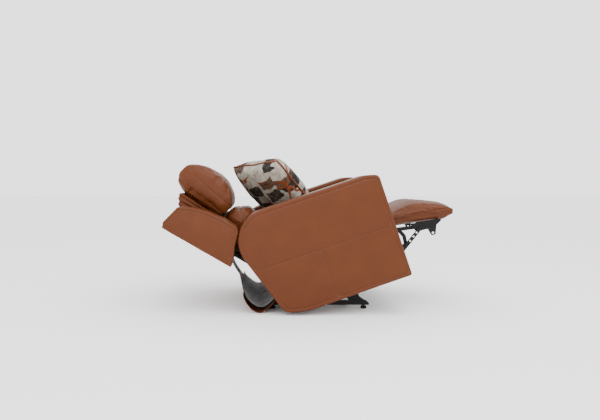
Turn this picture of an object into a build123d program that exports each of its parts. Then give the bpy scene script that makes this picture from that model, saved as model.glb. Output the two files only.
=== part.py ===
"""Power recliner armchair with a tilting seat, reclining back and linkage footrest, in millimetres.

The chair faces -Y and stands on Z = 0. It is modelled with the seat tilted, the back reclined and
the footrest out. Two local frames carry the numbers: the chassis frame, forward and up from the
arms' front bottom corner with the seat level, and the back frame, up along and out of the back.
"""

from math import atan2, cos, degrees, hypot, radians, sin
import os

from build123d import *

# Driving dimensions
TILT = 18.5
RECLINE = 41.5
FOOTREST_PITCH = -10.0
CENTRE_FORWARD = -1.55
ARM_FRONT = (542.0, 230.0)
BACK_CORNER = (-937.0, 353.0)
HALF_WIDTH = 465.0
ARM_INNER = 281.0
ARM_HEIGHT = 599.0
SEAT_FRONT, SEAT_REAR = -62.0, -598.0
SEAT_BOTTOM, SEAT_TOP = 301.0, 440.0
BOARD_LENGTH = 384.0
BOARD_THICK = 15.0
PAD_THICK = 118.0
PIVOT_RADIUS = 5.0
PIVOT_CLEAR = 0.3

# Pivots in the chassis frame
TILT_PIVOT = (-542.5, 150.0)
RECLINE_PIVOT = (-680.0, 415.0)
SWING_PIVOT = (-170.0, 215.0)
CONTROL_PIVOT = (-262.0, 263.0)
ELBOW = (0.0, 79.0)
FOOTREST_PIVOT = (172.6, 191.0)
GUIDE_PIVOT = (70.5, 124.7)
GUIDE_TOP = (54.3, 226.7)
GUIDE_FOOT = (-17.8, 113.1)
BRACKET_PIVOT = (182.2, 201.3)
TORQUE_TUBE = (-138.2, 270.0)
FRONT_TUBE = (-320.0, 60.0)
REAR_TUBE = (-620.0, 150.0)
BOARD_REAR = (-19.3, 263.0)
RECLINE_LEVER = (-620.0, 235.0)
FOOTREST_LEVER = (-190.0, 120.0)
HEADREST_PIVOT = (187.0, 204.0)
PILLOW_MIDDLE = (-198.0, 708.0)

# Sideways layers of flat steel, as inner and outer distance from the middle
SIDE_PLATE = (276.0, 281.0)
SWING_LAYER = (270.0, 274.0)
FRONT_LAYER = (264.0, 268.0)
BRACKET_LAYER = (258.0, 262.0)
UPPER_LAYER = (252.0, 256.0)
GUIDE_LAYER = (246.0, 250.0)
RAIL = (247.0, 272.0)

SIDES = {"left": 1, "right": -1}


def base(forward, up):
    """Point on the floor frame as (y, z)."""
    return (CENTRE_FORWARD - forward, up)


def chassis(forward, up):
    """Point of the seat chassis at rest as (y, z)."""
    t = radians(TILT)
    return base(
        ARM_FRONT[0] + forward * cos(t) - up * sin(t),
        ARM_FRONT[1] + forward * sin(t) + up * cos(t),
    )


def back_in_chassis(up, out):
    """Point of the backrest in the chassis frame."""
    t = radians(RECLINE)
    return (BACK_CORNER[0] - up * sin(t) + out * cos(t), BACK_CORNER[1] + up * cos(t) + out * sin(t))


def back(up, out):
    """Point of the backrest at rest as (y, z)."""
    return chassis(*back_in_chassis(up, out))


def footrest(along, above):
    """Point of the footrest at rest as (y, z), from the rear lower edge of its board."""
    t = radians(FOOTREST_PITCH)
    return chassis(
        BOARD_REAR[0] + along * cos(t) - above * sin(t),
        BOARD_REAR[1] + along * sin(t) + above * cos(t),
    )


def outline(frame, points, radius=0):
    """Closed face from points in a local frame, with one radius or one for each corner."""
    placed = [frame(*p) for p in points]
    if radius == 0:
        return make_face(Polyline(*placed, close=True))
    return make_face(FilletPolyline(*placed, radius=radius, close=True))


def slab(face, low, high):
    """Solid of a side-view face between two distances from the middle."""
    return extrude(Plane.YZ.offset(low) * face, amount=high - low)


def layer(face, side, span):
    """Solid of a side-view face in one sideways layer of the given side."""
    low, high = sorted((side * span[0], side * span[1]))
    return slab(face, low, high)


def strip(points, half):
    """Flat bar face with round ends and elbows through (y, z) points."""
    face = Pos(*points[0]) * Circle(half)
    for start, end in zip(points, points[1:]):
        run = (end[0] - start[0], end[1] - start[1])
        middle = ((start[0] + end[0]) / 2, (start[1] + end[1]) / 2)
        turn = degrees(atan2(run[1], run[0]))
        face += Pos(*middle) * Rot(0, 0, turn) * Rectangle(hypot(*run), 2 * half)
        face += Pos(*end) * Circle(half)
    return face


def disc(point, radius):
    """Round face at a (y, z) point."""
    return Pos(*point) * Circle(radius)


def hole(point):
    """Face of a pivot hole."""
    return disc(point, PIVOT_RADIUS + PIVOT_CLEAR)


def rod_across(point, radius, low, high):
    """Round bar along X."""
    return slab(disc(point, radius), low, high)


def rounded(solid, radius):
    """Solid with the edges of its two side faces rounded."""
    faces = solid.faces().sort_by(Axis.X)
    return fillet(faces[0].edges() + faces[-1].edges(), radius)


def base_frame(parts):
    """Floor frame: two rails, two cross tubes, brackets, glides and tilt stands."""
    rail_face = outline(base, [(-235, 21), (-235, 45), (332, 45), (347, 31), (347, 21)])
    bracket = [(227, 45), (227, 150), (284, 150), (286, 73), (325, 45)]
    stand = [(-75, 45), (-52, 190), (-45, 222), (5, 222), (12, 190), (35, 45)]
    for name, side in SIDES.items():
        middle = side * sum(RAIL) / 2
        parts[f"base_rail_{name}"] = layer(rail_face, side, RAIL)
        parts[f"front_leg_bracket_{name}"] = layer(outline(base, bracket), side, (250, 270))
        pin = layer(disc(chassis(*TILT_PIVOT), 10), side, (260, 280.5))
        parts[f"tilt_stand_{name}"] = layer(outline(base, stand), side, (264, 272)) + pin
        for place, forward in (("front", 316), ("rear", -220)):
            y, _ = base(forward, 0)
            foot = Pos(middle, y, 0) * Cylinder(17, 13, align=(Align.CENTER, Align.CENTER, Align.MIN))
            foot += Pos(middle, y, 13) * Cylinder(6, 8, align=(Align.CENTER, Align.CENTER, Align.MIN))
            parts[f"floor_glide_{place}_{name}"] = foot
    parts["base_cross_tube_front"] = rod_across(base(255, 33), 11, -RAIL[0], RAIL[0])
    rear = rod_across(base(-200, 33), 11, -RAIL[0], RAIL[0])
    parts["base_cross_tube_rear"] = rear + ears(base(-200, 33), base(-200, 75), -80, pinned=True)


def ears(root, tip, middle, pinned):
    """Two clevis ears from a tube out to a pivot, with or without their pin."""
    face = strip([root, tip], 9)
    pair = slab(face, middle - 13, middle - 9) + slab(face, middle + 9, middle + 13)
    if pinned:
        pair += rod_across(tip, PIVOT_RADIUS, middle - 13, middle + 13)
    return pair


def side_plates(parts):
    """Steel side plates of the chassis with their fixed pins."""
    profile = [
        (-130, 235), (-150, 292), (-560, 295), (-612, 300), (-655, 440), (-705, 440),
        (-722, 400), (-668, 120), (-560, 105), (-340, 38), (-300, 38), (-285, 80), (-150, 190),
    ]
    plate = outline(chassis, profile, 12) - disc(chassis(*TILT_PIVOT), 10.3)
    for name, side in SIDES.items():
        solid = layer(plate, side, SIDE_PLATE)
        solid += layer(disc(chassis(*RECLINE_PIVOT), 8), side, (266, SIDE_PLATE[0]))
        solid += layer(disc(chassis(*SWING_PIVOT), PIVOT_RADIUS), side, (269, SIDE_PLATE[0]))
        solid += layer(disc(chassis(*CONTROL_PIVOT), PIVOT_RADIUS), side, (262.5, SIDE_PLATE[0]))
        parts[f"chassis_side_plate_{name}"] = solid


def chassis_tubes(parts):
    """Cross tubes of the chassis, with the clevis ears of the actuators."""
    reach = SIDE_PLATE[0]
    front = rod_across(chassis(*FRONT_TUBE), 11, -reach, reach)
    front += ears(chassis(*FRONT_TUBE), chassis(-320, 90), 0, pinned=True)
    parts["chassis_front_tube"] = front + ears(chassis(*FRONT_TUBE), chassis(-320, 30), -80, pinned=False)
    rear = rod_across(chassis(*REAR_TUBE), 11, -reach, reach)
    parts["chassis_rear_tube"] = rear + ears(chassis(*REAR_TUBE), chassis(-620, 110), 80, pinned=True)


def spring_deck(parts):
    """Front and rear seat rails joined by zigzag springs."""
    reach = SIDE_PLATE[0] - 0.2
    deck = slab(outline(chassis, [(-93, 284), (-118, 284), (-118, 298), (-93, 298)]), -reach, reach)
    deck += slab(outline(chassis, [(-565, 284), (-590, 284), (-590, 298), (-565, 298)]), -reach, reach)
    turns = 18
    pitch = (565 - 118) / turns
    wire = 4.0
    for row in range(5):
        centre = -200 + 100 * row
        for step in range(turns):
            near = -118 - pitch * step
            side = 28 if step % 2 else -28
            run = slab(outline(chassis, [
                (near, 288), (near - wire, 288), (near - wire, 292), (near, 292),
            ]), centre - 28, centre + 28)
            end = slab(outline(chassis, [
                (near, 288), (near - pitch - wire, 288), (near - pitch - wire, 292), (near, 292),
            ]), centre + side - wire / 2, centre + side + wire / 2)
            deck += run
            deck += end
    parts["seat_spring_deck"] = deck


def seat(parts):
    """Seat cushion and the upholstered border below its front edge."""
    cushion = [
        (SEAT_FRONT, SEAT_BOTTOM), (SEAT_FRONT, SEAT_TOP),
        (SEAT_REAR, SEAT_TOP - 12), (SEAT_REAR, SEAT_BOTTOM),
    ]
    solid = slab(outline(chassis, cushion, [14, 45, 30, 10]), -279, 279)
    parts["seat_cushion"] = rounded(solid, 9)
    border = [(-64, 62), (-64, 282), (-90, 282), (-90, 62)]
    parts["front_border"] = slab(outline(chassis, border, 5), -235, 235)


def arms(parts):
    """Upholstered arms with rounded top edges; the right one has the control pocket."""
    profile = [
        (6, -7), (6, 579), (-70, 600), (-932.7, ARM_HEIGHT), (-734, 30), (-696, 4),
        (-590, -15), (-480, -13), (-250, -9),
    ]
    corner = [10, 30, 90, 178, 25, 60, 200, 300, 300]
    face = outline(chassis, profile, corner)
    for name, side in SIDES.items():
        solid = rounded(layer(face, side, (ARM_INNER, HALF_WIDTH)), 11)
        if name == "right":
            solid -= layer(outline(chassis, control_outline(0.2)), side, (ARM_INNER - 1, 293.2))
        parts[f"arm_{name}"] = solid


def control_outline(grow):
    """Corners of the control panel, front to rear along the arm."""
    low, high = 500 - grow, 540 + grow
    front, rear = -118 + grow, -270 - grow
    return [(front, low), (front, high), (rear, high), (rear, low)]


def controls(parts):
    """Control panel on the inner face of the right arm, with three push buttons."""
    panel = layer(outline(chassis, control_outline(0), 4), -1, (278, 293))
    for number in range(3):
        centre = -150 - 44 * number
        well = [(centre + 13, 508), (centre + 13, 532), (centre - 13, 532), (centre - 13, 508)]
        cap = [(centre + 12.6, 508.4), (centre + 12.6, 531.6), (centre - 12.6, 531.6), (centre - 12.6, 508.4)]
        panel -= layer(outline(chassis, well, 4), -1, (276, 290))
        parts[f"control_button_{number + 1}"] = layer(outline(chassis, cap, 4), -1, (276, 288))
    parts["control_panel"] = panel


def power_inlet(parts):
    """Round low-voltage socket on the rear chassis tube."""
    y, z = chassis(-646, 150)
    tilt = Pos(150, y, z) * Rot(-TILT, 0, 0)
    body = tilt * Box(34, 30, 24)
    body -= tilt * Pos(0, 10, 0) * Rot(90, 0, 0) * Cylinder(5, 24)
    parts["power_inlet"] = body


def backrest(parts):
    """Inner board, recline brackets, cushion, side wings and outside panel of the back."""
    board = slab(outline(back, [(-120, 40), (-120, 52), (60, 52), (60, 40)]), -270, 270)
    board += slab(outline(back, [(60, 40), (60, 52), (415, 52), (415, 40)]), -288, 288)
    parts["back_board"] = board
    lower = [
        (-140, 53), (-140, 283), (60, 292), (130, 268), (150, 232), (152, 195),
        (185, 190), (425, 108), (425, 53),
    ]
    cushion = slab(outline(back, lower, [10, 25, 60, 30, 20, 4, 4, 10, 4]), -262, 262)
    for middle in (-122, 122):
        slot = outline(back, [(100, 52), (100, 220), (230, 220), (230, 52)])
        cushion -= slab(slot, middle - 6, middle + 6)
    parts["back_cushion"] = cushion
    wing = [
        (0, 15), (418, 15), (450, 20), (419, 144), (386, 163), (327, 186), (262, 202),
        (167, 211), (78, 208), (58, 194), (36, 112), (16, 71),
    ]
    wing_round = [4, 6, 8, 20, 20, 60, 80, 80, 18, 12, 30, 20]
    outside = [(-4, 0), (-4, 14.5), (440, 14.5), (440, 0)]
    for name, side in SIDES.items():
        parts[f"back_wing_{name}"] = rounded(layer(outline(back, wing, wing_round), side, (288.5, 465)), 3)
        arm = [back(44, 46), back(-40, 150), chassis(*RECLINE_PIVOT), chassis(*RECLINE_LEVER)]
        bracket = strip(arm, 14) + disc(chassis(*RECLINE_PIVOT), 20) - disc(chassis(*RECLINE_PIVOT), 8.3)
        parts[f"recline_bracket_{name}"] = layer(bracket, side, (270.2, 274.2))
    bar = rod_across(chassis(*RECLINE_LEVER), 9, -270, 270)
    parts["recline_lever_bar"] = bar + ears(chassis(*RECLINE_LEVER), chassis(-606, 205), 0, pinned=False)
    parts["outside_back"] = slab(outline(back, outside, [1, 1, 6, 6]), -463, 463)


def headrest(parts):
    """Headrest, its hinge, and the folded gusset behind it."""
    pivot = back(*HEADREST_PIVOT)
    profile = [
        (197, 206), (319, 212), (443, 225), (512, 258), (527, 303), (510, 364), (442, 401),
        (335, 403), (276, 387), (201, 338), (164, 289), (171, 236),
    ]
    rounding = [6, 60, 60, 25, 30, 35, 70, 70, 70, 70, 25, 25]
    pad = slab(outline(back, profile, rounding), -284, 284)
    parts["headrest"] = rounded(pad, 4) - rod_across(pivot, 11, -300, 300)
    hinge = rod_across(pivot, 6, -240, 240)
    for middle in (-122, 122):
        hinge += slab(strip([pivot, back(112, 62)], 9.5), middle - 3, middle + 3)
    parts["headrest_hinge"] = hinge
    fold = [(215, 197), (428, 118), (470, 188), (456, 214), (330, 204)]
    parts["headrest_gusset"] = slab(outline(back, fold, 3), -250, 250)


def skirt(parts):
    """Loose back skirt, hanging from the outside back to the floor and turned forward."""
    path = [back(-12, 8), base(-328, 12), base(-262, 16)]
    flap = slab(strip(path, 3), -400, 400)
    low, high = 0, back(-12, 8)[1] + 20
    front = [(-400, low), (400, low), (400, 70), (130, high), (-130, high), (-400, 70)]
    keep = Plane.XZ.offset(-600) * Polygon(*front, align=None)
    parts["back_skirt"] = flap & extrude(keep, amount=600)


def link(points, side, span, holes=(), pins=()):
    """Flat link through chassis points with pivot holes and fixed pins."""
    face = strip([chassis(*p) for p in points], 11)
    for point in holes:
        face -= hole(chassis(*point))
    solid = layer(face, side, span)
    for point, reach in pins:
        solid += layer(disc(chassis(*point), PIVOT_RADIUS), side, reach)
    return solid


def between(start, end, share):
    """Point part of the way from start to end."""
    return (start[0] + share * (end[0] - start[0]), start[1] + share * (end[1] - start[1]))


def footrest_links(parts):
    """Five flat links on each side between the chassis and the footrest."""
    for name, side in SIDES.items():
        parts[f"swing_link_{name}"] = link(
            [TORQUE_TUBE, SWING_PIVOT, ELBOW], side, SWING_LAYER,
            holes=[SWING_PIVOT], pins=[(ELBOW, (263, SWING_LAYER[0]))],
        )
        lightening = [between(ELBOW, FOOTREST_PIVOT, share) for share in (0.16, 0.56, 0.72, 0.86)]
        parts[f"front_link_{name}"] = link(
            [ELBOW, FOOTREST_PIVOT], side, FRONT_LAYER,
            holes=[ELBOW, FOOTREST_PIVOT] + lightening,
            pins=[(GUIDE_PIVOT, (245, FRONT_LAYER[0]))],
        )
        parts[f"guide_link_{name}"] = link(
            [GUIDE_FOOT, GUIDE_PIVOT, (76, 178), GUIDE_TOP], side, GUIDE_LAYER, holes=[GUIDE_PIVOT],
        )
        parts[f"upper_link_{name}"] = link(
            [GUIDE_TOP, BRACKET_PIVOT], side, UPPER_LAYER,
            holes=[BRACKET_PIVOT], pins=[(GUIDE_TOP, (250.5, UPPER_LAYER[0]))],
        )
        parts[f"control_link_{name}"] = link(
            [CONTROL_PIVOT, GUIDE_FOOT], side, FRONT_LAYER,
            holes=[CONTROL_PIVOT], pins=[(GUIDE_FOOT, (251, FRONT_LAYER[0]))],
        )
    reach = SWING_LAYER[0]
    tube = rod_across(chassis(*TORQUE_TUBE), 8, -reach, reach)
    lever = ears(chassis(*TORQUE_TUBE), chassis(*FOOTREST_LEVER), 80, pinned=False)
    parts["footrest_torque_tube"] = tube + lever


def footrest_panel(parts):
    """Brackets, board and pad of the footrest."""
    bracket = [
        (150, -0.2), (335, -0.2), (335, -8), (304, -30), (291, -84), (266, -88), (250, -46), (180, -52),
    ]
    face = outline(footrest, bracket, [2, 2, 2, 6, 10, 10, 8, 10]) - disc(footrest(277, -73), 7)
    for name, side in SIDES.items():
        solid = layer(face, side, BRACKET_LAYER)
        solid += layer(disc(chassis(*FOOTREST_PIVOT), PIVOT_RADIUS), side, (BRACKET_LAYER[1], 269))
        solid += layer(disc(chassis(*BRACKET_PIVOT), PIVOT_RADIUS), side, (251, BRACKET_LAYER[0]))
        flange = outline(footrest, [(190, -2.2), (190, -0.2), (330, -0.2), (330, -2.2)])
        parts[f"footrest_bracket_{name}"] = solid + layer(flange, side, (232, 258))
    board = [(0, 0), (0, BOARD_THICK), (BOARD_LENGTH, BOARD_THICK), (BOARD_LENGTH, 0)]
    parts["footrest_board"] = slab(outline(footrest, board, [2, 0.5, 0.5, 2]), -262, 262)
    low = BOARD_THICK + 0.2
    high = low + PAD_THICK
    pad = [(2, low), (0, high - 46), (210, high - 2), (392, high - 46), (422, 60), (412, low)]
    solid = slab(outline(footrest, pad, [4, 30, 140, 60, 24, 6]), -270, 270)
    parts["footrest_pad"] = rounded(solid, 5)


def actuator(parts, name, middle, start, end, tube, rod, can_side):
    """Linear actuator: motor and outer tube pinned at start, sliding rod out to end."""
    run = (end[0] - start[0], end[1] - start[1])
    length = hypot(*run)
    axis = Plane(origin=(middle, *start), x_dir=(1, 0, 0), z_dir=(0, run[0] / length, run[1] / length))
    grow = (Align.CENTER, Align.CENTER, Align.MIN)
    motor = rod_across(start, 10, middle - 8, middle + 8)
    motor += axis * Pos(0, 0, 4) * Box(16, 14, 30, align=grow)
    motor += axis * Pos(can_side * 20, 0, 30) * Box(84, 42, 52, align=grow)
    motor += axis * Pos(can_side * 40, 0, 80) * Cylinder(19, 90, align=grow)
    motor += axis * Pos(0, 0, 80) * Cylinder(13, tube - 80, align=grow)
    motor -= axis * Pos(0, 0, 60) * Cylinder(8.3, tube, align=grow)
    motor -= rod_across(start, PIVOT_RADIUS + PIVOT_CLEAR, middle - 9, middle + 9)
    shaft = axis * Pos(0, 0, length - rod) * Cylinder(8, rod - 4, align=grow)
    shaft += rod_across(end, 10, middle - 8, middle + 8)
    shaft -= rod_across(end, PIVOT_RADIUS, middle - 9, middle + 9)
    parts[f"{name}_motor"] = motor
    parts[f"{name}_rod"] = shaft


def actuators(parts):
    """Three electric actuators: tilt, recline and footrest."""
    actuator(parts, "tilt_actuator", -80, base(-200, 75), chassis(-320, 30), 340, 330, -1)
    actuator(parts, "recline_actuator", 0, chassis(-320, 90), chassis(-606, 205), 215, 215, 1)
    actuator(parts, "footrest_actuator", 80, chassis(-620, 110), chassis(*FOOTREST_LEVER), 330, 300, 1)


def throw_pillow(parts):
    """Square throw pillow that stands on the seat and leans on the back."""
    side, thick = 420.0, 84.0
    slope = 51.0
    half = extrude(Rectangle(side, side), amount=thick, taper=slope)
    pillow = half + mirror(half, about=Plane.XY)
    middle = (10, base(PILLOW_MIDDLE[0], 0)[0], PILLOW_MIDDLE[1])
    spot = Plane(origin=middle, x_dir=(-0.774, -0.630, 0.058), z_dir=(0.464, -0.503, 0.730))
    parts["throw_pillow"] = spot * pillow


def build():
    """Every sub-part by node name."""
    parts = {}
    for section in (
        base_frame, side_plates, chassis_tubes, spring_deck, seat, arms, controls, power_inlet,
        backrest, headrest, skirt, footrest_links, footrest_panel, actuators, throw_pillow,
    ):
        section(parts)
    return parts


def main():
    os.makedirs("parts", exist_ok=True)
    for name, solid in build().items():
        export_step(solid, f"parts/{name}.step")
        box = solid.bounding_box()
        print(name, round(box.min.Y), round(box.max.Y), round(box.min.Z), round(box.max.Z))


main()
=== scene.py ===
"""Visual model of a power recliner armchair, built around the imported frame."""

import math

import bmesh
import bpy
import numpy as np
from mathutils import Matrix, Vector, noise
from mathutils.bvhtree import BVHTree


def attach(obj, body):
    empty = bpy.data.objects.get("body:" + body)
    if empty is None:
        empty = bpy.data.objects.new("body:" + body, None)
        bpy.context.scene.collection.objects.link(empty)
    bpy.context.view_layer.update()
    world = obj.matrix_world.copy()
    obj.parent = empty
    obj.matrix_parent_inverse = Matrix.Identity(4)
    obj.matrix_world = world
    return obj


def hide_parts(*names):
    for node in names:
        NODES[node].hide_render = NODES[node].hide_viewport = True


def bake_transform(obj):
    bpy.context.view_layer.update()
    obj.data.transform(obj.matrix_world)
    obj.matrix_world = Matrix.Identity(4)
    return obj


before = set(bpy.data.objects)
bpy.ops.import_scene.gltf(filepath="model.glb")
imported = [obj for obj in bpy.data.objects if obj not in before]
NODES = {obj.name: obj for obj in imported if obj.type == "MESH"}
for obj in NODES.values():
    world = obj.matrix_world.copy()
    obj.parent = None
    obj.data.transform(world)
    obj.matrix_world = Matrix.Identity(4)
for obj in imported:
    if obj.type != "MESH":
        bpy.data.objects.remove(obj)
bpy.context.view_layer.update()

# Local frames, in millimetres and degrees, as the CAD model has them
TILT = math.radians(18.5)
RECLINE = math.radians(41.5)
FOOT_PITCH = math.radians(-10.0)
CENTRE_FORWARD = -1.55
ARM_FRONT = np.array((542.0, 230.0))
BACK_CORNER = np.array((-937.0, 353.0))
BOARD_REAR = np.array((-19.3, 263.0))
ARM_INNER, HALF_WIDTH = 281.0, 465.0
RIM_SEAM = 23.0
PANEL_CENTRE, PANEL_HALF = np.array((-194.0, 520.0)), np.array((79.0, 23.0))
SEAT_SEAMS = (-190.0, -400.0)
BACK_SEAM = 45.0
FOOT_SEAM = 250.0
RAY_START = 520.0
MM = 0.001

# Cushion simulation, and thread stitches in metres
CLOTH_PRESSURE, CLOTH_FRAMES = 4.0, 20
STITCH_SPACING, STITCH_LENGTH, STITCH_THICK = 0.0065, 0.0045, 0.0007


def spin(points, angle):
    """Points (n, 2) turned by an angle."""
    c, s = math.cos(angle), math.sin(angle)
    return np.stack((points[:, 0] * c - points[:, 1] * s, points[:, 0] * s + points[:, 1] * c), 1)


def to_chassis(co):
    """World metres (n, 3) to forward and up in the chassis frame."""
    flat = np.stack((CENTRE_FORWARD - co[:, 1] / MM, co[:, 2] / MM), 1)
    return spin(flat - ARM_FRONT, -TILT)


def to_back(co):
    """World metres to up and out in the back frame."""
    turned = spin(to_chassis(co) - BACK_CORNER, -RECLINE)
    return np.stack((turned[:, 1], turned[:, 0]), 1)


def to_foot(co):
    """World metres to along and above in the footrest frame."""
    return spin(to_chassis(co) - BOARD_REAR, -FOOT_PITCH)


def from_chassis(x, forward, up):
    """World point in metres from the chassis frame."""
    p = spin(np.array([[forward, up]]), TILT)[0] + ARM_FRONT
    return Vector((x * MM, (CENTRE_FORWARD - p[0]) * MM, p[1] * MM))


def from_back(x, up, out):
    """World point in metres from the back frame."""
    p = spin(np.array([[out, up]]), RECLINE)[0] + BACK_CORNER
    return from_chassis(x, *p)


def from_foot(x, along, above):
    """World point in metres from the footrest frame."""
    p = spin(np.array([[along, above]]), FOOT_PITCH)[0] + BOARD_REAR
    return from_chassis(x, *p)


def from_floor(x, forward, up):
    """World point in metres from distances forward and up from the floor."""
    return Vector((x * MM, (CENTRE_FORWARD - forward) * MM, up * MM))


PILLOW_SIDE = 0.221
PILLOW_CENTRE = Vector((0.010, (CENTRE_FORWARD + 198.0) * MM, 0.708))


def pillow_frame():
    """Matrix of the pillow: its two sides, its face direction and its centre."""
    along = Vector((-0.774, -0.630, 0.058)).normalized()
    out = Vector((0.464, -0.503, 0.730)).normalized()
    other = out.cross(along).normalized()
    along = other.cross(out).normalized()
    matrix = Matrix((along, other, out)).transposed().to_4x4()
    matrix.translation = PILLOW_CENTRE
    return matrix


# ---------------------------------------------------------------- materials

def new_material(name):
    """Empty node material with its shader and a helper that adds linked nodes."""
    mat = bpy.data.materials.new(name)
    mat.use_nodes = True
    tree = mat.node_tree
    shader = tree.nodes["Principled BSDF"]

    def add(kind, inputs=None, **settings):
        node = tree.nodes.new(kind)
        for key, value in settings.items():
            setattr(node, key, value)
        for key, value in (inputs or {}).items():
            if hasattr(value, "is_output"):
                tree.links.new(value, node.inputs[key])
            else:
                node.inputs[key].default_value = value
        return node

    return mat, tree, shader, add


def ramp(add, source, stops):
    """Colour ramp over a factor, from (place, colour) stops."""
    node = add("ShaderNodeValToRGB", {"Fac": source})
    elements = node.color_ramp.elements
    while len(elements) < len(stops):
        elements.new(0.5)
    for element, (place, colour) in zip(elements, stops):
        element.position = place
        element.color = (*colour, 1)
    return node.outputs["Color"]


def leather(name, base, dark, light, grain=520.0):
    """Pebbled leather with mottled colour, pores, creases and lighter worn edges."""
    rough = (0.42, 0.62)
    bump = 0.22
    mat, tree, shader, add = new_material(name)
    place = add("ShaderNodeTexCoord").outputs["Object"]
    mottled = add("ShaderNodeTexNoise", {"Vector": place, "Scale": 9.0, "Detail": 6.0, "Roughness": 0.6})
    tone = ramp(add, mottled.outputs["Fac"], [(0.3, dark), (0.52, base), (0.75, light)])
    cells = add("ShaderNodeTexVoronoi", {"Vector": place, "Scale": grain}, feature="DISTANCE_TO_EDGE")
    pores = add("ShaderNodeTexNoise", {"Vector": place, "Scale": grain * 2.2, "Detail": 3.0})
    crease = add("ShaderNodeTexNoise", {"Vector": place, "Scale": 46.0, "Detail": 5.0, "Roughness": 0.65})
    gap = add("ShaderNodeMapRange", {"Value": cells.outputs["Distance"], "From Max": 0.12, "To Min": 0.82})
    shade = add("ShaderNodeMix", {"Factor": 1.0, "A": tone, "B": gap.outputs["Result"]},
                data_type="RGBA", blend_type="MULTIPLY")
    worn = add("ShaderNodeNewGeometry").outputs["Pointiness"]
    edge = add("ShaderNodeMapRange", {"Value": worn, "From Min": 0.52, "From Max": 0.62, "To Max": 0.35})
    coat = add("ShaderNodeMix", {"Factor": edge.outputs["Result"], "A": shade.outputs["Result"],
                                 "B": (*light, 1)}, data_type="RGBA")
    tree.links.new(coat.outputs["Result"], shader.inputs["Base Color"])
    gloss = add("ShaderNodeMapRange", {"Value": pores.outputs["Fac"], "To Min": rough[0], "To Max": rough[1]})
    tree.links.new(gloss.outputs["Result"], shader.inputs["Roughness"])
    fine = add("ShaderNodeBump", {"Height": cells.outputs["Distance"], "Strength": bump, "Distance": 0.0006})
    middle = add("ShaderNodeBump", {"Height": pores.outputs["Fac"], "Strength": bump * 0.6,
                                    "Distance": 0.0004, "Normal": fine.outputs["Normal"]})
    broad = add("ShaderNodeBump", {"Height": crease.outputs["Fac"], "Strength": bump, "Distance": 0.0025,
                                   "Normal": middle.outputs["Normal"]})
    tree.links.new(broad.outputs["Normal"], shader.inputs["Normal"])
    shader.inputs["Specular IOR Level"].default_value = 0.2
    return mat


def cloth(name, base, dark, pitch=900.0, rough=0.9):
    """Plain woven cloth: two crossing thread waves and a little fuzz."""
    mat, tree, shader, add = new_material(name)
    place = add("ShaderNodeTexCoord").outputs["Object"]
    heights = []
    for axis in ("X", "Z"):
        wave = add("ShaderNodeTexWave", {"Vector": place, "Scale": pitch / 6.28, "Distortion": 0.6},
                   bands_direction=axis)
        heights.append(wave.outputs["Fac"])
    weave = add("ShaderNodeMath", {0: heights[0], 1: heights[1]}, operation="MAXIMUM")
    lint = add("ShaderNodeTexNoise", {"Vector": place, "Scale": 60.0, "Detail": 6.0})
    both = add("ShaderNodeMath", {0: weave.outputs[0], 1: lint.outputs["Fac"]}, operation="MULTIPLY")
    tree.links.new(ramp(add, both.outputs[0], [(0.1, dark), (0.6, base)]), shader.inputs["Base Color"])
    relief = add("ShaderNodeBump", {"Height": weave.outputs[0], "Strength": 0.35, "Distance": 0.0005})
    tree.links.new(relief.outputs["Normal"], shader.inputs["Normal"])
    shader.inputs["Roughness"].default_value = rough
    shader.inputs["Sheen Weight"].default_value = 0.25
    return mat


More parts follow.
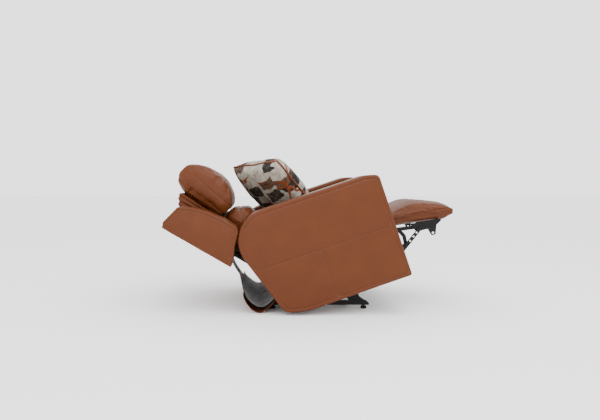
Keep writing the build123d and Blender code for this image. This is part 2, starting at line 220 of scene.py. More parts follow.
def print_fabric(name):
    """Woven print: pale ground with large charcoal leaves, their veins and rust branches."""
    mat, tree, shader, add = new_material(name)
    spot = add("ShaderNodeTexCoord").outputs["Object"]
    mapping = add("ShaderNodeMapping", {"Vector": spot, "Location": PILLOW_CENTRE,
                                        "Rotation": pillow_frame().to_euler()}, vector_type="TEXTURE")
    place = mapping.outputs[0]
    bent = add("ShaderNodeTexNoise", {"Vector": place, "Scale": 7.0, "Detail": 3.0})
    push = add("ShaderNodeVectorMath", {0: bent.outputs["Color"], 1: (0.5, 0.5, 0.5)},
               operation="SUBTRACT")
    small = add("ShaderNodeVectorMath", {0: push.outputs[0], "Scale": 0.10}, operation="SCALE")
    warped = add("ShaderNodeVectorMath", {0: place, 1: small.outputs[0]}, operation="ADD").outputs[0]
    flat = add("ShaderNodeMapping", {"Vector": warped, "Rotation": (0, 0, 0.9),
                                     "Scale": (7.4, 12.2, 0.6)}).outputs[0]
    ground_noise = add("ShaderNodeTexNoise", {"Vector": place, "Scale": 26.0, "Detail": 5.0})
    ground = ramp(add, ground_noise.outputs["Fac"], [(0.35, (0.20, 0.175, 0.14)), (0.6, (0.34, 0.31, 0.255))])
    leaf = add("ShaderNodeTexVoronoi", {"Vector": flat, "Scale": 1.0, "Randomness": 0.7},
               distance="MANHATTAN", voronoi_dimensions="2D")
    inside = add("ShaderNodeMapRange", {"Value": leaf.outputs["Distance"], "From Min": 0.60, "From Max": 0.64,
                                        "To Min": 1.0, "To Max": 0.0})
    pick = add("ShaderNodeSeparateColor", {"Color": leaf.outputs["Color"]})
    chosen = add("ShaderNodeMath", {0: pick.outputs["Red"], 1: 0.24}, operation="GREATER_THAN")
    leaves = add("ShaderNodeMath", {0: inside.outputs["Result"], 1: chosen.outputs[0]}, operation="MULTIPLY")
    speckle = add("ShaderNodeTexNoise", {"Vector": place, "Scale": 42.0, "Detail": 7.0, "Roughness": 0.75})
    warm = add("ShaderNodeMath", {0: pick.outputs["Green"], 1: -0.5}, operation="ADD")
    warmth = add("ShaderNodeMath", {0: warm.outputs[0], 1: 0.16}, operation="MULTIPLY")
    shifted = add("ShaderNodeMath", {0: speckle.outputs["Fac"], 1: warmth.outputs[0]}, operation="ADD")
    leaf_tone = ramp(add, shifted.outputs[0], [
        (0.40, (0.008, 0.007, 0.007)), (0.50, (0.028, 0.023, 0.019)), (0.56, (0.075, 0.060, 0.045)),
        (0.62, (0.12, 0.034, 0.010)),
    ])
    with_leaves = add("ShaderNodeMix", {"Factor": leaves.outputs[0], "A": ground, "B": leaf_tone},
                      data_type="RGBA")
    branch = add("ShaderNodeTexVoronoi", {"Vector": warped, "Scale": 5.0}, feature="DISTANCE_TO_EDGE")
    thin = add("ShaderNodeMapRange", {"Value": branch.outputs["Distance"], "From Min": 0.02,
                                      "From Max": 0.035, "To Min": 1.0, "To Max": 0.0})
    patchy = add("ShaderNodeMath", {0: bent.outputs["Fac"], 1: 0.46}, operation="GREATER_THAN")
    rust = add("ShaderNodeMath", {0: thin.outputs["Result"], 1: patchy.outputs[0]}, operation="MULTIPLY")
    full = add("ShaderNodeMix", {"Factor": rust.outputs[0], "A": with_leaves.outputs["Result"],
                                 "B": (0.15, 0.036, 0.009, 1)}, data_type="RGBA")
    tree.links.new(full.outputs["Result"], shader.inputs["Base Color"])
    threads = add("ShaderNodeTexWave", {"Vector": place, "Scale": 190.0, "Distortion": 1.0},
                  bands_direction="DIAGONAL")
    relief = add("ShaderNodeBump", {"Height": threads.outputs["Fac"], "Strength": 0.3, "Distance": 0.0006})
    tree.links.new(relief.outputs["Normal"], shader.inputs["Normal"])
    shader.inputs["Roughness"].default_value = 0.85
    shader.inputs["Specular IOR Level"].default_value = 0.2
    return mat


def hard(name, colour, rough, metallic=0.0, speck=900.0, wear=None):
    """Powder coat, steel, plastic or rubber with fine texture and rubbed edges."""
    mat, tree, shader, add = new_material(name)
    place = add("ShaderNodeTexCoord").outputs["Object"]
    grain = add("ShaderNodeTexNoise", {"Vector": place, "Scale": speck, "Detail": 3.0})
    smudge = add("ShaderNodeTexNoise", {"Vector": place, "Scale": 18.0, "Detail": 5.0})
    low = tuple(c * 0.75 for c in colour)
    high = tuple(min(1.0, c * 1.3 + 0.004) for c in colour)
    tone = ramp(add, smudge.outputs["Fac"], [(0.3, low), (0.7, high)])
    if wear:
        worn = add("ShaderNodeNewGeometry").outputs["Pointiness"]
        edge = add("ShaderNodeMapRange", {"Value": worn, "From Min": 0.53, "From Max": 0.6, "To Max": 0.5})
        mixed = add("ShaderNodeMix", {"Factor": edge.outputs["Result"], "A": tone, "B": (*wear, 1)},
                    data_type="RGBA")
        tone = mixed.outputs["Result"]
    tree.links.new(tone, shader.inputs["Base Color"])
    gloss = add("ShaderNodeMapRange", {"Value": smudge.outputs["Fac"], "To Min": rough * 0.8,
                                       "To Max": rough * 1.2})
    tree.links.new(gloss.outputs["Result"], shader.inputs["Roughness"])
    relief = add("ShaderNodeBump", {"Height": grain.outputs["Fac"], "Strength": 0.15, "Distance": 0.0003})
    tree.links.new(relief.outputs["Normal"], shader.inputs["Normal"])
    shader.inputs["Metallic"].default_value = metallic
    shader.inputs["Specular IOR Level"].default_value = 0.15
    return mat


TAN = (0.086, 0.0198, 0.0028)
TAN_DARK = (0.082, 0.0184, 0.0026)
TAN_LIGHT = (0.094, 0.0225, 0.0034)
LEATHER = leather("cognac_leather", TAN, TAN_DARK, TAN_LIGHT)
WELT = leather("welt_leather", (0.12, 0.024, 0.006), (0.09, 0.018, 0.004), (0.15, 0.035, 0.01), grain=700.0)
THREAD = cloth("tan_thread", (0.19, 0.062, 0.022), (0.12, 0.035, 0.011), pitch=5000.0, rough=0.7)
LINING = cloth("charcoal_lining", (0.016, 0.014, 0.013), (0.006, 0.0055, 0.005))
PRINT = print_fabric("leaf_print")
BLACK_STEEL = hard("black_powder_coat", (0.0035, 0.0035, 0.004), 0.55, wear=(0.008, 0.008, 0.008))
BARE_STEEL = hard("bright_rod", (0.5, 0.5, 0.5), 0.28, metallic=1.0, speck=2500.0)
SPRING_STEEL = hard("spring_wire", (0.16, 0.16, 0.16), 0.4, metallic=1.0)
PLASTIC = hard("moulded_plastic", (0.006, 0.006, 0.007), 0.5)
RUBBER = hard("glide_rubber", (0.006, 0.006, 0.006), 0.75)


# ---------------------------------------------------------------- mesh tools

def link_object(name, data):
    """New object in the scene from its mesh, curve, camera or light."""
    obj = bpy.data.objects.new(name, data)
    bpy.context.scene.collection.objects.link(obj)
    return obj


def bake(obj):
    """Applies every modifier of an object to its mesh."""
    graph = bpy.context.evaluated_depsgraph_get()
    mesh = bpy.data.meshes.new_from_object(obj.evaluated_get(graph))
    obj.modifiers.clear()
    obj.data = mesh


def shade_smooth(mesh):
    """Smooth shading on every face."""
    mesh.polygons.foreach_set("use_smooth", [True] * len(mesh.polygons))


def thicken(obj, thickness, offset=-1.0):
    """Gives a sheet a thickness in metres."""
    shell = obj.modifiers.new("thickness", "SOLIDIFY")
    shell.thickness = thickness
    shell.offset = offset
    bake(obj)


def coords(obj):
    """Vertex places and normals as arrays."""
    n = len(obj.data.vertices)
    co = np.zeros(n * 3)
    normal = np.zeros(n * 3)
    obj.data.vertices.foreach_get("co", co)
    obj.data.vertices.foreach_get("normal", normal)
    return co.reshape(-1, 3), normal.reshape(-1, 3)


def set_coords(obj, co):
    """Writes vertex places back."""
    obj.data.vertices.foreach_set("co", co.reshape(-1))
    obj.data.update()


def joined_mesh(nodes):
    """One mesh with the faces of several CAD nodes."""
    merged = bmesh.new()
    for node in nodes:
        merged.from_mesh(NODES[node].data)
    mesh = bpy.data.meshes.new(nodes[0])
    merged.to_mesh(mesh)
    merged.free()
    return mesh


def stuffed(nodes, name, voxel, cap=0.0, shrink=0.0, grow=0.0, smooth=4):
    """Soft copy of CAD nodes: remeshed, optionally blown up as cloth, then subdivided."""
    obj = link_object(name, joined_mesh(nodes))
    mod = obj.modifiers.new("remesh", "REMESH")
    mod.mode = "VOXEL"
    mod.voxel_size = voxel
    soft = obj.modifiers.new("smooth", "SMOOTH")
    soft.iterations = smooth
    soft.factor = 0.5
    bake(obj)
    if shrink:
        co, normal = coords(obj)
        set_coords(obj, co - normal * shrink)
    if cap:
        blow_up(obj, cap)
    sub = obj.modifiers.new("finer", "SUBSURF")
    sub.levels = 1
    sub.render_levels = 1
    bake(obj)
    if grow:
        co, normal = coords(obj)
        set_coords(obj, co + normal * grow)
    shade_smooth(obj.data)
    return obj


def blow_up(obj, cap):
    """Cloth with inner pressure, run for a few frames, with a cap on how far a point moves."""
    scene = bpy.context.scene
    before, _ = coords(obj)
    mod = obj.modifiers.new("cloth", "CLOTH")
    mod.settings.quality = 5
    mod.settings.mass = 0.3
    mod.settings.tension_stiffness = 25
    mod.settings.compression_stiffness = 25
    mod.settings.bending_stiffness = 0.8
    mod.settings.use_pressure = True
    mod.settings.uniform_pressure_force = CLOTH_PRESSURE
    mod.settings.effector_weights.gravity = 0
    for step in range(1, CLOTH_FRAMES + 1):
        scene.frame_set(step)
    bake(obj)
    after, _ = coords(obj)
    move = after - before
    size = np.linalg.norm(move, axis=1, keepdims=True)
    set_coords(obj, before + move * np.minimum(1.0, cap / np.maximum(size, 1e-9)))
    scene.frame_set(1)


def hull_2d(points):
    """Convex outline of 2-D points, anticlockwise."""
    ordered = sorted(set(map(tuple, np.round(points, 2))))

    def half(seq):
        chain = []
        for p in seq:
            while len(chain) > 1:
                (ax, ay), (bx, by) = chain[-2], chain[-1]
                if (bx - ax) * (p[1] - ay) - (by - ay) * (p[0] - ax) > 0:
                    break
                chain.pop()
            chain.append(p)
        return chain[:-1]

    return np.array(half(ordered) + half(ordered[::-1]))


def node_outline(node, to_local):
    """Outline of a CAD node in a local side view."""
    co = np.zeros(len(NODES[node].data.vertices) * 3)
    NODES[node].data.vertices.foreach_get("co", co)
    return hull_2d(to_local(co.reshape(-1, 3)))


def distance_to_path(points, path, closed=False):
    """Shortest distance of 2-D points to a polyline."""
    ends = np.roll(path, -1, 0) if closed else path[1:]
    starts = path if closed else path[:-1]
    best = np.full(len(points), 1e9)
    for a, b in zip(starts, ends):
        run = b - a
        share = np.clip(((points - a) @ run) / max(run @ run, 1e-9), 0, 1)
        best = np.minimum(best, np.linalg.norm(points - (a + share[:, None] * run), axis=1))
    return best


def valley(distance, width):
    """1 on a line and 0 away from it."""
    return np.exp(-((distance / width) ** 2))


def ripple(co, scale, seed=0.0):
    """Smooth noise between about -1 and 1 at each point."""
    shift = Vector((seed, seed * 1.7, seed * 0.3))
    return np.array([noise.noise(Vector(p) * scale + shift) for p in co])


def inset(path, amount):
    """Closed outline moved inwards and sampled every few millimetres."""
    centre = path.mean(0)
    points = resample(np.vstack((path, path[:1])), 6.0)[:-1]
    ahead = np.roll(points, -1, 0) - np.roll(points, 1, 0)
    side = np.stack((-ahead[:, 1], ahead[:, 0]), 1)
    side /= np.maximum(np.linalg.norm(side, axis=1, keepdims=True), 1e-9)
    facing = np.sign(((centre - points) * side).sum(1, keepdims=True))
    return points + side * facing * amount


def resample(path, step):
    """Polyline with points at even steps."""
    lengths = np.linalg.norm(np.diff(path, axis=0), axis=1)
    along = np.concatenate(([0], np.cumsum(lengths)))
    count = max(2, int(along[-1] / step))
    places = np.linspace(0, along[-1], count)
    return np.stack([np.interp(places, along, path[:, i]) for i in range(path.shape[1])], 1)


def stitches(name, host, rays, body):
    """Row of thread stitches on the surface of host, along (origin, direction) rays."""
    tree = BVHTree.FromObject(host, bpy.context.evaluated_depsgraph_get())
    hits = []
    for origin, direction in rays:
        spot, normal, _, _ = tree.ray_cast(origin, direction, 0.6)
        if spot is not None:
            hits.append((spot, normal))
    mesh = bmesh.new()
    travelled = STITCH_SPACING
    for (a, na), (b, _) in zip(hits, hits[1:]):
        gap = (b - a).length
        if gap > 0.05:
            continue
        travelled += gap
        if travelled < STITCH_SPACING:
            continue
        travelled = 0.0
        ahead = (b - a).normalized()
        across = na.cross(ahead).normalized() * STITCH_THICK
        up = na.normalized() * STITCH_THICK
        rings = []
        for reach, full in ((-0.5, 0.35), (-0.3, 1.0), (0.3, 1.0), (0.5, 0.35)):
            centre = a + ahead * STITCH_LENGTH * reach + up * (0.6 if full == 1.0 else -0.4)
            ring = [centre + across * full, centre + up * full, centre - across * full, centre - up * full]
            rings.append([mesh.verts.new(v) for v in ring])
        for low, high in zip(rings, rings[1:]):
            for i in range(4):
                mesh.faces.new((low[i], low[(i + 1) % 4], high[(i + 1) % 4], high[i]))
        mesh.faces.new(rings[0][::-1])
        mesh.faces.new(rings[-1])
    data = bpy.data.meshes.new(name)
    bmesh.ops.recalc_face_normals(mesh, faces=mesh.faces)
    mesh.to_mesh(data)
    mesh.free()
    shade_smooth(data)
    obj = link_object(name, data)
    obj.data.materials.append(THREAD)
    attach(obj, body)


def side_rays(path, from_local, x, inwards):
    """Rays along X towards a side face, at the points of a local path."""
    return [(from_local(x, *p), Vector((inwards, 0, 0))) for p in resample(path, 2.0)]


def across_rays(along_x, from_local, point, aim):
    """Rays at one local place for many X, towards a local aim point."""
    rays = []
    for x in np.arange(along_x[0], along_x[1], 2.0):
        start = from_local(x, *point)
        rays.append((start, (from_local(x, *aim) - start).normalized()))
    return rays


def finish_soft(obj, body, nodes, material=None):
    """Material, body and replaced nodes of a soft piece."""
    obj.data.materials.clear()
    obj.data.materials.append(material or LEATHER)
    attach(obj, body)
    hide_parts(*nodes)


# ---------------------------------------------------------------- upholstery

def make_arm(side):
    """Arm with rim seams on both faces, a level seam and a short upright seam."""
    sign = 1 if side == "left" else -1
    node = f"arm_{side}"
    obj = stuffed([node], f"arm_upholstery_{side}", 0.007)
    co, normal = coords(obj)
    local = to_chassis(co)
    rim = node_outline(node, to_chassis)
    depth = distance_to_path(local, rim, closed=True)
    facing = normal[:, 0] * sign
    outer = np.clip((facing - 0.5) * 4, 0, 1)
    inner = np.clip((-facing - 0.5) * 4, 0, 1)
    level = np.array([(-20.0, 290.0), (-838.0, 290.0)])
    upright = np.array([(-420.0, 290.0), (-420.0, -4.0)])
    inside = np.clip((depth - RIM_SEAM) / 6, 0, 1)
    near = valley(depth - RIM_SEAM, 5.0)
    near = np.maximum(near, valley(distance_to_path(local, level), 5.0) * inside * outer)
    near = np.maximum(near, valley(distance_to_path(local, upright), 5.0) * inside * outer)
    groove = near * (outer + inner)
    crown = np.clip((depth - RIM_SEAM) / 70, 0, 1) * 5.0 * outer
    pucker = valley(depth - RIM_SEAM, 16.0) * ripple(co, 42.0, 3.0) * 0.8
    soft = ripple(co, 6.5, 7.0) * 1.4 * np.clip(depth / 40, 0, 1)
    move = crown + soft + pucker - groove * 3.6
    co += normal * (move * MM)[:, None]
    if side == "right":
        pocket = (np.abs(local - PANEL_CENTRE) < PANEL_HALF).all(1) & (co[:, 0] > -0.30)
        co[pocket, 0] = -0.2945
    set_coords(obj, co)
    finish_soft(obj, "seat_chassis", [node])
    for face, x, inwards in (("outer", RAY_START, -1), ("inner", 276.0, 1)):
        path = inset(rim, RIM_SEAM + 4)
        path = np.vstack((path, path[:1]))
        rays = side_rays(path, from_chassis, sign * x, sign * inwards)
        stitches(f"arm_stitches_{side}_{face}", obj, rays, "seat_chassis")
    for label, path in (("level", level + (0, 5)), ("upright", upright + (5, 0))):
        stitches(f"arm_stitches_{side}_{label}", obj, side_rays(path, from_chassis, sign * RAY_START, -sign),
                 "seat_chassis")


def make_seat():
    """Seat cushion, blown up, with boxed edge seams and two cross seams."""
    obj = stuffed(["seat_cushion"], "seat_cushion_upholstery", 0.006, cap=0.022, shrink=0.006)
    co, normal = coords(obj)
    local = to_chassis(co)
    top = np.clip(normal[:, 2] * 3, 0, 1)
    groove = np.zeros(len(co))
    for forward in SEAT_SEAMS:
        groove = np.maximum(groove, valley(local[:, 0] - forward, 6.0) * top)
    rows = np.abs(np.abs(co[:, 0]) - 0.255) / MM
    groove = np.maximum(groove, valley(rows, 5.0) * top)
    sag = -7.0 * np.exp(-((local[:, 0] + 330) / 150) ** 2 - (co[:, 0] / 0.17) ** 2) * top
    crease = ripple(co * (1.0, 0.35, 1.0), 26.0, 5.0) * 1.2 * top
    move = sag + crease - groove * 4.0
    co += normal * (move * MM)[:, None]
    limit = ARM_INNER * MM - 0.001
    co[:, 0] = np.clip(co[:, 0], -limit, limit)
    set_coords(obj, co)
    finish_soft(obj, "seat_chassis", ["seat_cushion"])
    for index, seam in enumerate(SEAT_SEAMS):
        rays = across_rays((-250, 250), from_chassis, (seam + 6, 560), (seam + 6, 300))
        stitches(f"seat_stitches_{index}", obj, rays, "seat_chassis")


def make_border():
    """Upholstered panel under the front of the seat."""
    obj = stuffed(["front_border"], "front_border_upholstery", 0.005)
    co, normal = coords(obj)
    local = to_chassis(co)
    rim = np.minimum(235 - np.abs(co[:, 0]) / MM, np.minimum(282 - local[:, 1], local[:, 1] - 62))
    front = np.clip(-normal[:, 1] * 2, 0, 1)
    move = (ripple(co, 14.0) * 0.8 - valley(rim - 18, 5.0) * 2.5 - 1.5) * front
    set_coords(obj, co + normal * (move * MM)[:, None])
    finish_soft(obj, "seat_chassis", ["front_border"])


def make_back_cushion():
    """Back cushion with a lumbar roll, a cross seam and two side seams."""
    obj = stuffed(["back_cushion"], "back_cushion_upholstery", 0.006, cap=0.022, shrink=0.004)
    co, normal = coords(obj)
    local = to_back(co)
    front = np.clip((local[:, 1] - 190) / 40, 0, 1)
    width = 1 - np.clip((np.abs(co[:, 0]) / MM - 200) / 62, 0, 1) ** 2
    groove = valley(local[:, 0] - BACK_SEAM, 9.0) * front
    groove = np.maximum(groove, valley(np.abs(np.abs(co[:, 0]) / MM - 205), 6.0) * front)
    crease = ripple(co, 20.0, 2.0) * 2.0 * front
    lumbar = 19.0 * np.exp(-((local[:, 0] - 85) / 72) ** 2) * front
    fold = valley(distance_to_path(local, np.array([(150.0, 300.0), (70.0, 265.0), (40.0, 200.0)])), 7.0) * 4.0
    move = crease - groove * 6.0 + front * width * 3.0 + lumbar - fold
    set_coords(obj, co + normal * (move * MM)[:, None])
    finish_soft(obj, "backrest", ["back_cushion"])
    rays = across_rays((-190, 190), from_back, (BACK_SEAM + 7, 420), (BACK_SEAM + 7, 60))
    stitches("back_stitches", obj, rays, "backrest")


def make_headrest():
    """Roll headrest whose end panels carry two long seams."""
    obj = stuffed(["headrest"], "headrest_upholstery", 0.006, cap=0.012, shrink=0.002, grow=0.004)
    co, normal = coords(obj)
    local = to_back(co)
    seams = (np.array([(505.0, 372.0), (400.0, 325.0), (258.0, 300.0), (176.0, 282.0)]),
             np.array([(528.0, 285.0), (400.0, 262.0), (290.0, 246.0), (180.0, 224.0)]))
    ends = np.clip((np.abs(normal[:, 0]) - 0.3) * 3, 0, 1)
    groove = np.zeros(len(co))
    for path in seams:
        groove = np.maximum(groove, valley(distance_to_path(local, path), 5.0) * ends)
    crease = ripple(co * (0.6, 1.0, 1.0), 24.0, 9.0) * 1.4
    rim = distance_to_path(local, node_outline("headrest", to_back), closed=True)
    crown = np.clip(rim / 75, 0, 1) ** 0.6 * 13.0 * ends
    rear = np.clip((local[:, 0] - 420) / 60, 0, 1) * 5.0
    move = crease + crown + rear - groove * 3.4
    set_coords(obj, co + normal * (move * MM)[:, None])
    finish_soft(obj, "headrest", ["headrest"])
    for sign, side in ((1, "left"), (-1, "right")):
        for index, path in enumerate(seams):
            stitches(f"headrest_stitches_{side}_{index}", obj,
                     side_rays(path + (0, 5), from_back, sign * 340.0, -sign), "headrest")


def make_back_shell():
    """Side wings and outside panel of the back, sewn into one leather shell."""
    nodes = ["back_wing_left", "back_wing_right", "outside_back"]
    obj = stuffed(nodes, "back_shell_upholstery", 0.006)
    co, normal = coords(obj)
    local = to_back(co)
    rim = hull_2d(np.vstack([node_outline(node, to_back) for node in nodes[1:]]))
    depth = distance_to_path(local, rim, closed=True)
    side = np.clip((np.abs(normal[:, 0]) - 0.5) * 4, 0, 1) * (np.abs(co[:, 0]) > 0.37)
    upper = np.clip((local[:, 1] - 30) / 15, 0, 1)
    rear = np.clip(8 - local[:, 1], 0, 8) / 8
    across = np.minimum(HALF_WIDTH - np.abs(co[:, 0]) / MM, np.minimum(440 - local[:, 0], local[:, 0] + 4))
    crown = np.clip((depth - 18) / 60, 0, 1) * 6.0 * side
    crown += np.clip(across / 90, 0, 1) * 5.0 * rear
    groove = np.maximum(valley(depth - 18, 4.5) * side * upper, valley(across - 22, 5.0) * rear)
    crease = ripple(co, 9.0, 4.0) * 1.6 + ripple(co, 34.0, 1.0) * 0.7 * valley(depth - 18, 20.0)
    move = crown + crease - groove * 3.2
    set_coords(obj, co + normal * (move * MM)[:, None])
    finish_soft(obj, "backrest", nodes)
    path = inset(rim, 22)
    path = path[path[:, 1] > 34]
    start = int(np.argmax(np.linalg.norm(path - np.roll(path, 1, 0), axis=1)))
    path = np.roll(path, -start, 0)
    for sign, name in ((1, "left"), (-1, "right")):
        stitches(f"wing_stitches_{name}", obj, side_rays(path, from_back, sign * RAY_START, -sign), "backrest")


def make_back_top():
    """Leather that closes the top of the back between the wings."""
    rows = []
    for share in np.linspace(0, 1, 26):
        out = 12 + 112 * share
        bulge = 7 * math.sin(math.pi * share)
        row = []
        for x in np.linspace(-290, 290, 110):
            fold = noise.noise(Vector((x * 0.02, share * 2.0, 3.0))) * 3.0
            row.append(from_back(x, 432 + bulge + fold * math.sin(math.pi * share), out))
        rows.append(row)
    obj = grid_mesh("back_top_panel", rows)
    thicken(obj, 0.002)
    obj.data.materials.append(LEATHER)
    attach(obj, "backrest")


def make_gusset():
    """Gathered leather fold between the back and the headrest."""
    obj = stuffed(["headrest_gusset"], "headrest_gusset_folds", 0.005, smooth=3)
    co, normal = coords(obj)
    local = to_back(co)
    angle = np.arctan2(local[:, 1] - 190, local[:, 0] - 150)
    folds = np.sin(angle * 62 + ripple(co, 7.0) * 1.6)
    move = folds * 3.0 + ripple(co, 30.0, 8.0) * 1.2
    co += normal * (move * MM)[:, None]
    co[:, 0] *= 1.09
    set_coords(obj, co)
    obj.data.materials.append(LEATHER)
    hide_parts("headrest_gusset")
    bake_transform(obj)


def make_footrest_pad():
    """Footrest pad with a boxed side seam and a rolled nose."""
    obj = stuffed(["footrest_pad", "footrest_board"], "footrest_pad_upholstery", 0.006, cap=0.009,
                  shrink=0.004, smooth=14)
    co, normal = coords(obj)
    local = to_foot(co)
    side = np.clip((np.abs(normal[:, 0]) - 0.35) * 3, 0, 1)
    top = np.clip((normal[:, 2] - 0.3) * 2, 0, 1)
    groove = np.maximum(valley(local[:, 1] - 72, 5.0) * side, valley(local[:, 1] - 30, 4.0) * side * 0.6)
    groove = np.maximum(groove, valley(local[:, 0] - FOOT_SEAM, 7.0) * top)
    crease = ripple(co * (1.0, 0.5, 1.0), 22.0, 1.0) * 1.6
    move = crease - groove * 3.8
    co += normal * (move * MM)[:, None]
    high = np.clip((local[:, 1] - 45) / 60, 0, 1)
    co[:, 2] -= 0.030 * np.clip(np.abs(co[:, 0]) / 0.27, 0, 1) ** 3.2 * high
    co[:, 2] -= 0.012 * np.clip(1 - local[:, 0] / 240, 0, 1) * high
    nose = np.clip((local[:, 0] - 330) / 80, 0, 1) ** 2
    co[:, 1] -= 0.011 * nose
    co[:, 2] -= 0.004 * nose
    set_coords(obj, co)
    finish_soft(obj, "footrest", ["footrest_pad", "footrest_board"])
    for sign, name in ((1, "left"), (-1, "right")):
        path = np.array([(6.0, 66.0), (395.0, 66.0)])
        stitches(f"footrest_stitches_{name}", obj, side_rays(path, from_foot, sign * 330.0, -sign), "footrest")
    rays = across_rays((-250, 250), from_foot, (FOOT_SEAM - 6, 260), (FOOT_SEAM - 6, 10))
    stitches("footrest_stitches_top", obj, rays, "footrest")


def grid_mesh(name, rows):
    """Quad mesh over rows of points."""
    columns = len(rows[0])
    points = [p for row in rows for p in row]
    faces = []
    for r in range(len(rows) - 1):
        for c in range(columns - 1):
            a = r * columns + c
            faces.append((a, a + 1, a + columns + 1, a + columns))
    mesh = bpy.data.meshes.new(name)
    mesh.from_pydata(points, [], faces)
    shade_smooth(mesh)
    return link_object(name, mesh)


def smooth_path(points, count):
    """Even points on a smooth curve through control points."""
    path = np.array(points, float)
    for _ in range(3):
        first = path[:-1] * 0.75 + path[1:] * 0.25
        second = path[:-1] * 0.25 + path[1:] * 0.75
        inner = np.stack((first, second), 1).reshape(-1, path.shape[1])
        path = np.vstack((path[:1], inner, path[-1:]))
    lengths = np.linalg.norm(np.diff(path, axis=0), axis=1)
    return resample(path, lengths.sum() / count)


def drape(name, path, half, flare, thick, wave, seed):
    """Sheet swept across X along a (forward, up) path, widening after flare, with soft folds."""
    rows = []
    widths = []
    spots = smooth_path(path, 90)
    for index, (forward, up) in enumerate(spots):
        share = index / (len(spots) - 1)
        row = []
        spread = min(1.0, max(0.0, (share - flare) / 0.36))
        wide = half[0] + (half[1] - half[0]) * spread * spread * (3 - 2 * spread)
        widths.append(2 * wide)
        for x in np.linspace(-wide, wide, 121):
            fold = noise.noise(Vector((x * 0.012, share * 1.2, seed))) * wave
            fold += noise.noise(Vector((x * 0.035, share * 3.0, seed + 5))) * wave * 0.35
            weight = math.sin(math.pi * min(1.0, share * 1.1)) ** 0.7
            row.append(from_floor(x, forward - fold * weight, max(5.0, up + fold * weight * 0.5)))
        rows.append(row)
    obj = grid_mesh(name, rows)
    thicken(obj, thick * MM, 0.0)
    length = np.linalg.norm(np.diff(spots, axis=0), axis=1).sum()
    return obj, length * MM, np.mean(widths) * length * MM * MM


def make_skirt():
    """Loose leather flap behind the seat, folded forward on the floor, and its charcoal lining."""
    flap = [(-466, 262), (-446, 215), (-408, 160), (-396, 115), (-376, 70), (-352, 35), (-328, 13), (-300, 2),
            (-272, 9), (-244, 32), (-212, 66)]
    lining = [(-396, 132), (-374, 88), (-338, 52), (-298, 32), (-256, 44), (-214, 80)]
    outer, length, area = drape("back_skirt_flap", flap, (90, 400), 0.2, 3.0, 8.0, 2.0)
    outer.data.materials.append(LEATHER)
    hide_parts("back_skirt")
    inner, length, area = drape("back_skirt_lining", lining, (300, 394), 0.0, 1.5, 7.0, 4.0)
    inner.data.materials.append(LINING)
    for obj in (outer, inner):
        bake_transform(obj)


def make_rear_lining():
    """Taut charcoal cloth that closes the rear of the seat box."""
    rows = []
    for share in np.linspace(0, 1, 30):
        rows.append([from_chassis(x, -757 - 45 * share + 5 * math.sin(math.pi * share), 62 + 165 * share)
                     for x in np.linspace(-279, 279, 60)])
    obj = grid_mesh("rear_lining", rows)
    thicken(obj, 0.0012)
    obj.data.materials.append(LINING)
    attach(obj, "seat_chassis")


# ---------------------------------------------------------------- throw pillow

def pillow_point(u, v, face):
    """Point of the pillow in its own frame; u and v run from -1 to 1."""
    corner = (u * v) ** 4 * 0.045
    x = u * (1 - 0.06 * (1 - v * v) * u * u - corner) + 0.012 * math.sin(v * 9 + 1) * abs(u) ** 5
    y = v * (1 - 0.06 * (1 - u * u) * v * v - corner) + 0.012 * math.sin(u * 8 + 2) * abs(v) ** 5
    rise = max(0.0, (1 - u * u) * (1 - v * v)) ** 0.33 * 0.104
    edge = min(1 - abs(u), 1 - abs(v))
    crumple = noise.noise(Vector((u * 2.6, v * 2.6, face * 3.0))) * 0.008
    tuck = math.sin((u - v) * 21 + face) * 0.003 * math.exp(-edge * 7)
    return Vector((x * PILLOW_SIDE, y * PILLOW_SIDE, face * (rise + (crumple + tuck) * min(1, edge * 5))))


def make_pillow():
    """Square pillow with pulled-in sides, a printed cover and a leather welt."""
    steps = 96
    values = [math.sin(t * math.pi / 2) for t in np.linspace(-1, 1, steps)]
    mesh = bmesh.new()
    for face in (1, -1):
        grid = [[mesh.verts.new(pillow_point(u, v, face)) for u in values] for v in values]
        for r in range(steps - 1):
            for c in range(steps - 1):
                quad = (grid[r][c], grid[r][c + 1], grid[r + 1][c + 1], grid[r + 1][c])
                mesh.faces.new(quad if face > 0 else quad[::-1])
    bmesh.ops.remove_doubles(mesh, verts=mesh.verts, dist=0.0002)
    data = bpy.data.meshes.new("throw_pillow_cover")
    mesh.to_mesh(data)
    mesh.free()
    shade_smooth(data)
    obj = link_object("throw_pillow_cover", data)
    data.transform(pillow_frame())
    finish_soft(obj, "pillow", ["throw_pillow"], PRINT)
    ring = []
    for start, end in (((-1, -1), (1, -1)), ((1, -1), (1, 1)), ((1, 1), (-1, 1)), ((-1, 1), (-1, -1))):
        for t in np.linspace(0, 1, 40, endpoint=False):
            ring.append((start[0] + t * (end[0] - start[0]), start[1] + t * (end[1] - start[1])))
    curve = bpy.data.curves.new("pillow_welt", "CURVE")
    curve.dimensions = "3D"
    curve.bevel_depth = 0.0052
    curve.bevel_resolution = 4
    spline = curve.splines.new("POLY")
    spline.points.add(len(ring) - 1)
    for point, (u, v) in zip(spline.points, ring):
        spot = pillow_point(u, v, 1)
        point.co = (spot.x * 1.008, spot.y * 1.008, 0, 1)
    spline.use_cyclic_u = True
    welt = link_object("pillow_welt", curve)
    curve.transform(pillow_frame())
    welt.data.materials.append(WELT)
    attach(welt, "pillow")


# ---------------------------------------------------------------- hard pieces

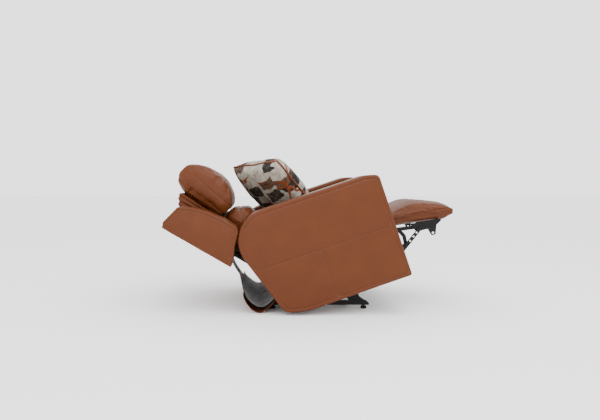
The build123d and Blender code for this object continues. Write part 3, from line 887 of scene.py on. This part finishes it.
def dress_frame():
    """Finishes of the CAD pieces that stay visible."""
    for name, obj in NODES.items():
        if name.startswith("floor_glide"):
            material = RUBBER
        elif name.endswith("_rod"):
            material = BARE_STEEL
        elif name.endswith("_motor") or name.startswith("control_button"):
            material = PLASTIC
        elif name in ("control_panel", "power_inlet"):
            material = PLASTIC
        elif name == "back_board":
            material = LINING
        elif name == "seat_spring_deck":
            material = SPRING_STEEL
        else:
            material = BLACK_STEEL
        obj.data.materials.clear()
        obj.data.materials.append(material)


# ---------------------------------------------------------------- stage

def make_camera():
    """Camera level with the chair's upper part, square to its right side."""
    data = bpy.data.cameras.new("camera")
    data.lens = 32.7
    data.sensor_width = 36.0
    data.shift_x = 0.075
    data.shift_y = -0.038
    camera = link_object("camera", data)
    camera.location = (-3.465, 0.32, 0.71)
    camera.rotation_euler = (math.radians(90), 0, math.radians(-90))
    bpy.context.scene.camera = camera


def make_light(name, place, aim, size, power):
    """Rectangular area light aimed at a point."""
    data = bpy.data.lights.new(name, "AREA")
    data.shape = "RECTANGLE"
    data.size, data.size_y = size
    data.energy = power
    lamp = link_object(name, data)
    lamp.location = place
    lamp.rotation_mode = "QUATERNION"
    lamp.rotation_quaternion = (Vector(aim) - Vector(place)).to_track_quat("-Z", "Y")


def make_stage():
    """Pale floor, white surroundings and soft lights."""
    mesh = bpy.data.meshes.new("studio_floor")
    mesh.from_pydata([(-40, -40, 0), (40, -40, 0), (40, 40, 0), (-40, 40, 0)], [], [(0, 1, 2, 3)])
    floor = link_object("studio_floor", mesh)
    mat, _, shader, _ = new_material("studio_floor")
    shader.inputs["Base Color"].default_value = (0.92, 0.92, 0.92, 1)
    shader.inputs["Roughness"].default_value = 0.9
    floor.data.materials.append(mat)
    world = bpy.data.worlds.new("studio")
    world.use_nodes = True
    world.node_tree.nodes["Background"].inputs["Color"].default_value = (1, 1, 1, 1)
    world.node_tree.nodes["Background"].inputs["Strength"].default_value = 2.4
    bpy.context.scene.world = world
    make_light("key", (-1.6, -0.6, 3.2), (0, 0, 0.4), (2.6, 2.6), 60)
    make_light("side", (-3.6, 1.0, 1.6), (0, 0, 0.45), (2.2, 1.6), 22)


make_camera()
dress_frame()
for label in ("left", "right"):
    make_arm(label)
make_seat()
make_border()
make_back_cushion()
make_headrest()
make_gusset()
make_back_shell()
make_back_top()
make_footrest_pad()
make_skirt()
make_rear_lining()
make_pillow()
make_stage()
